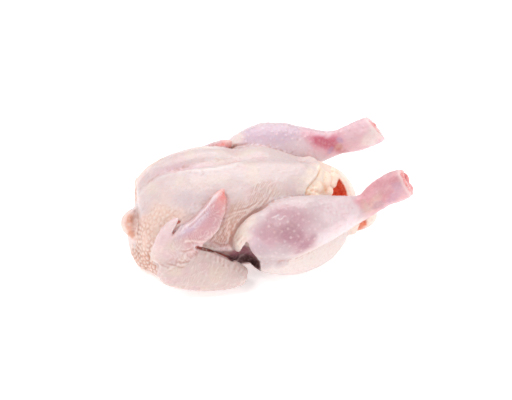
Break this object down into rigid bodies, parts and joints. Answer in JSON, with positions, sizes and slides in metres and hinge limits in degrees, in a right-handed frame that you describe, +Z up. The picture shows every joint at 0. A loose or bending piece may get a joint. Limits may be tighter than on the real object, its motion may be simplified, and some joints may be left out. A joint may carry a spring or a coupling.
{
  "type": "whole raw chicken",
  "caption": "Plucked raw whole chicken lying on its back, breast up, wings folded at the sides and drumsticks pointing back, with an open body cavity.",
  "frame": {"origin": "middle of the bounding box, at the height of the surface that the bird's back rests on", "axes": "+X from the neck to the tail and hocks, +Y to the bird's left side, +Z up through the breast"},
  "size_m": [0.2546, 0.181, 0.094],
  "materials": {
    "skin": "moist raw skin, cream pink, mauve over the leg muscle",
    "fat": "soft cream yellow fat, moist",
    "flesh": "wet pink red flesh and cut ends"
  },
  "bodies": {
    "root": {"chicken": "skin"}
  },
  "joints": []
}
